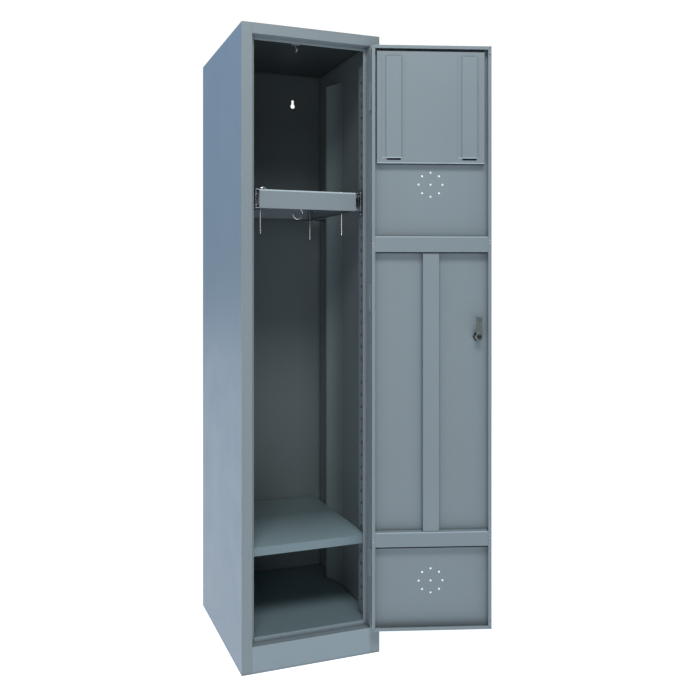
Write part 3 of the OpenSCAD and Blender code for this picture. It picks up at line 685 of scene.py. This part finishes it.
def finish_piece(name, body, bm, material, move=None):
    """Makes a mesh object from bm, moved into the model's frame, that rides on a body."""
    if move is not None:
        bmesh.ops.transform(bm, matrix=move, verts=bm.verts)
    bmesh.ops.recalc_face_normals(bm, faces=bm.faces)
    mesh = bpy.data.meshes.new(name)
    bm.to_mesh(mesh)
    bm.free()
    mesh.polygons.foreach_set("use_smooth", [True] * len(mesh.polygons))
    mesh.set_sharp_from_angle(angle=math.radians(40))
    mesh.materials.append(material)
    piece = bpy.data.objects.new(name, mesh)
    bpy.context.scene.collection.objects.link(piece)
    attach(piece, body)
    return piece


def swung(angle):
    """The door's swing by an angle in degrees about its hinge axis."""
    about = Matrix.Translation(HINGE_AXIS)
    return about @ Matrix.Rotation(math.radians(angle), 4, "Z") @ about.inverted()


OPEN_DOOR = swung(-SHUT_ANGLE)


def shut_box(node):
    """A door node's lowest and highest corners with the door shut."""
    back = swung(SHUT_ANGLE)
    points = [back @ v.co for v in NODES[node].data.vertices]
    low = Vector(min(p[i] for p in points) for i in range(3))
    high = Vector(max(p[i] for p in points) for i in range(3))
    return low, high


# rings of (radius, height, corners) in millimetres, from the seat to the socket's bottom
SCREW_HEAD = [(3.5, 0, 0), (3.5, 0.9, 0), (3.1, 1.6, 0), (2.3, 2.0, 0), (1.9, 2.0, 6), (1.8, 0.9, 6),
              (0.2, 0.6, 6)]


def screw_profile():
    """A pan head with a hexagonal socket."""
    return [(radius * MM, height * MM, corners) for radius, height, corners in SCREW_HEAD]


def solids_of(node):
    """The lowest and highest corners of each separate solid in a CAD node."""
    bm = bmesh.new()
    bm.from_mesh(NODES[node].data)
    bmesh.ops.remove_doubles(bm, verts=bm.verts, dist=SAME_POINT)
    seen = set()
    boxes = []
    for vert in bm.verts:
        if vert in seen:
            continue
        group, todo = [], [vert]
        seen.add(vert)
        while todo:
            here = todo.pop()
            group.append(here.co.copy())
            for edge in here.link_edges:
                other = edge.other_vert(here)
                if other not in seen:
                    seen.add(other)
                    todo.append(other)
        low = Vector(min(p[i] for p in group) for i in range(3))
        high = Vector(max(p[i] for p in group) for i in range(3))
        boxes.append((low, high))
    bm.free()
    return boxes


def make_bracket_screws(materials):
    """Socket-headed screws in place of the plain heads on the brackets' feet."""
    bm = bmesh.new()
    for low, high in solids_of("bracket_screws"):
        middle = (low + high) / 2
        inward = -1 if middle.x > 0 else 1
        seat = low.x if inward > 0 else high.x
        turn(bm, (seat, middle.y, middle.z), (inward, 0, 0), screw_profile())
    piece = finish_piece("bracket_screw_heads", "cabinet", bm, materials["zinc"])
    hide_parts("bracket_screws")


def make_rod_tips(materials):
    """Rounded lower ends on the four hanger rods."""
    bm = bmesh.new()
    for name in ("front_left_rod", "front_right_rod", "rear_left_rod", "rear_right_rod"):
        low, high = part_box(name)
        radius = min(high.x - low.x, high.y - low.y) / 2
        turn(bm, (low.x + radius, low.y + radius, low.z), (0, 0, -1), dome(radius, 0.8 * radius))
    finish_piece("rod_tips", "tray", bm, materials["chrome"])


WELD_RADIUS, WELD_HEIGHT = 2.4 * MM, 0.28 * MM
WELD_INSET, WELD_STEP = 5 * MM, 9 * MM
WELD_SHARE_LEFT, WELD_SHARE_RIGHT = 0.55, 0.35


def make_weld_marks(materials):
    """Ground-down spot welds on the door's lips beside the rails' ends."""
    low, high = shut_box("door_skin")
    bm = bmesh.new()
    for rail in ("door_upper_rail", "door_lower_rail"):
        rail_low, rail_high = shut_box(rail)
        left = (low.x + WELD_INSET, WELD_SHARE_LEFT)
        right = (high.x - WELD_INSET, WELD_SHARE_RIGHT)
        for x, z_share in (left, right):
            z = rail_low.z + z_share * (rail_high.z - rail_low.z)
            for lift in (0, WELD_STEP):
                turn(bm, (x, high.y, z + lift), (0, 1, 0), dome(WELD_RADIUS, WELD_HEIGHT))
    finish_piece("door_weld_marks", "door", bm, materials["weld_paint"], OPEN_DOOR)


def slab(bm, ring, depth):
    """A thin flat piece with a ring of corners, drawn out by depth."""
    top = [bm.verts.new(p) for p in ring]
    bottom = [bm.verts.new(p + depth) for p in ring]
    bm.faces.new(top)
    bm.faces.new(list(reversed(bottom)))
    for n in range(len(ring)):
        m = (n + 1) % len(ring)
        bm.faces.new((top[n], bottom[n], bottom[m], top[m]))


SEAM_HALF = 0.3 * MM
SEAM_DEPTH = 0.3 * MM
SEAM_STAND = 0.04 * MM
SEAM_INSET = 0.8 * MM


def make_lip_seams(materials):
    """The open mitres where the door's folded lips meet at its corners."""
    low, high = shut_box("door_skin")
    lip = shut_box("door_upper_rail")[0].x - low.x
    y = high.y + SEAM_STAND
    bm = bmesh.new()
    for x, sx in ((low.x, 1), (high.x, -1)):
        for z, sz in ((low.z, 1), (high.z, -1)):
            start = Vector((x + sx * SEAM_INSET, y, z + sz * SEAM_INSET))
            end = Vector((x + sx * lip, y, z + sz * lip))
            across = Vector((sz, 0, -sx)).normalized() * SEAM_HALF
            ring = [start - across, start + across, end + across, end - across]
            slab(bm, ring, Vector((0, -SEAM_DEPTH, 0)))
    finish_piece("door_lip_seams", "door", bm, materials["seam"], OPEN_DOOR)


def shadow_line(bm, x_range, z_range, y, depth):
    """A thin dark slab along x, pointed at both ends, that stands for a narrow shadow."""
    (x0, x1), (z0, z1) = x_range, z_range
    half, middle = (z1 - z0) / 2, (z0 + z1) / 2
    left, right = x0 + half, x1 - half
    corners = ((left, z0), (right, z0), (x1, middle), (right, z1), (left, z1), (x0, middle))
    slab(bm, [Vector((x, y, z)) for x, z in corners], Vector((0, -depth, 0)))


JOINT_GAP = 0.1 * MM
JOINT_STAND = 0.35 * MM
FACE_INSET = 0.3 * MM
LIP_LINE = 6.5 * MM
LIP_OVERLAP = 0.3 * MM
FOLD_LINE = 2.6 * MM
STRIP_LINE = 5.0 * MM
RAIL_LINE = 3.6 * MM
STRIP_EDGES = (4.5 * MM, 12.5 * MM)
RAIL_EDGE = 0.5 * MM
FOLD_DEPTH = 2.5 * MM
RAIL_DEPTH = 3 * MM


def make_shadow_lines(materials):
    """Dark slabs for the sharp shadows over and under the upper panel, under the ends of its
    strips and under the rails. The real door has no such pieces."""
    low, high = shut_box("door_upper_panel")
    lip = shut_box("door_upper_rail")[0].x - shut_box("door_skin")[0].x
    lip_end = shut_box("door_skin")[1].z - lip
    across = (low.x, high.x)
    surface, face = high.y + JOINT_STAND, high.y - FACE_INSET
    bm = bmesh.new()
    shadow_line(bm, across, (lip_end - LIP_LINE, lip_end + LIP_OVERLAP), surface, SEAM_DEPTH)
    shadow_line(bm, across, (low.z - FOLD_LINE, low.z - JOINT_GAP), face, FOLD_DEPTH)
    for strip in ("panel_strip_hinge_side", "panel_strip_lock_side"):
        strip_low, strip_high = shut_box(strip)
        span = (strip_low.x + STRIP_EDGES[0], strip_high.x - STRIP_EDGES[1])
        heights = (strip_low.z - STRIP_LINE, strip_low.z - JOINT_GAP)
        shadow_line(bm, span, heights, surface, SEAM_DEPTH)
    for rail in ("door_upper_rail", "door_lower_rail"):
        rail_low, rail_high = shut_box(rail)
        span = (rail_low.x + RAIL_EDGE, rail_high.x - RAIL_EDGE)
        heights = (rail_low.z - RAIL_LINE, rail_low.z - JOINT_GAP)
        shadow_line(bm, span, heights, rail_high.y - FACE_INSET, RAIL_DEPTH)
    finish_piece("door_shadow_lines", "door", bm, materials["seam"], OPEN_DOOR)


THREAD_CORE, THREAD_CREST, THREAD_PITCH = 2.9 * MM, 3.25 * MM, 0.5 * MM


def make_stem_thread(materials):
    """Rounded thread ridges on the lock's stem, beyond the cam nut."""
    plug_low, plug_high = shut_box("lock_plug")
    nut_high = shut_box("cam_nut")[1]
    x = (plug_low.x + plug_high.x) / 2
    z = (plug_low.z + plug_high.z) / 2
    bm = bmesh.new()
    profile = []
    y = nut_high.y
    while y < plug_high.y - THREAD_PITCH:
        along = y - nut_high.y
        profile += [(THREAD_CORE, along, 0), (THREAD_CREST, along + 0.5 * THREAD_PITCH, 0)]
        y += THREAD_PITCH
    profile.append((THREAD_CORE, y - nut_high.y, 0))
    turn(bm, (x, nut_high.y, z), (0, 1, 0), profile)
    finish_piece("stem_thread", "cam", bm, materials["nut_zinc"], OPEN_DOOR)


RUNNER_HEIGHT = 14.5 * MM
RUNNER_START = 0.5 * MM
# rings of (radius, height, corners) in millimetres
RUNNER = [(1.4, 0, 0), (2.2, 0.8, 0), (2.2, 9, 0), (1.6, 10, 0)]


def make_slide_stops(materials):
    """Two round-nosed moulded runners at the front of each middle member."""
    profile = [(radius * MM, height * MM, corners) for radius, height, corners in RUNNER]
    for side in ("left", "right"):
        low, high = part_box(f"slide_middle_{side}")
        x = (low.x + high.x) / 2
        bm = bmesh.new()
        for z in (SLIDE_Z - RUNNER_HEIGHT, SLIDE_Z + RUNNER_HEIGHT):
            turn(bm, (x, low.y + RUNNER_START, z), (0, 1, 0), profile)
        finish_piece(f"slide_stop_{side}", "slide_middles", bm, materials["black"])


RIVET_RADIUS, RIVET_HEIGHT = 2.0 * MM, 0.9 * MM
RIVET_INSET = 4 * MM
RIVET_FROM_BACK = 8 * MM
HOOK_PLATE = 2 * MM


def make_hook_rivets(materials):
    """Small round heads that hold the ceiling hook's plate."""
    low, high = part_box("ceiling_hook")
    bm = bmesh.new()
    for x in (low.x + RIVET_INSET, high.x - RIVET_INSET):
        seat = (x, high.y - RIVET_FROM_BACK, high.z - HOOK_PLATE)
        turn(bm, seat, (0, 0, -1), dome(RIVET_RADIUS, RIVET_HEIGHT))
    finish_piece("ceiling_hook_rivets", "cabinet", bm, materials["zinc"])


make_camera()
make_floor()
make_world()
make_lights()
bpy.context.scene.view_settings.view_transform = "Standard"

materials = {**cabinet_coats(), **door_and_tray_coats(), **metals_and_plastic()}
dress_nodes(materials)
make_bracket_screws(materials)
make_rod_tips(materials)
make_weld_marks(materials)
make_lip_seams(materials)
make_shadow_lines(materials)
make_stem_thread(materials)
make_slide_stops(materials)
make_hook_rivets(materials)
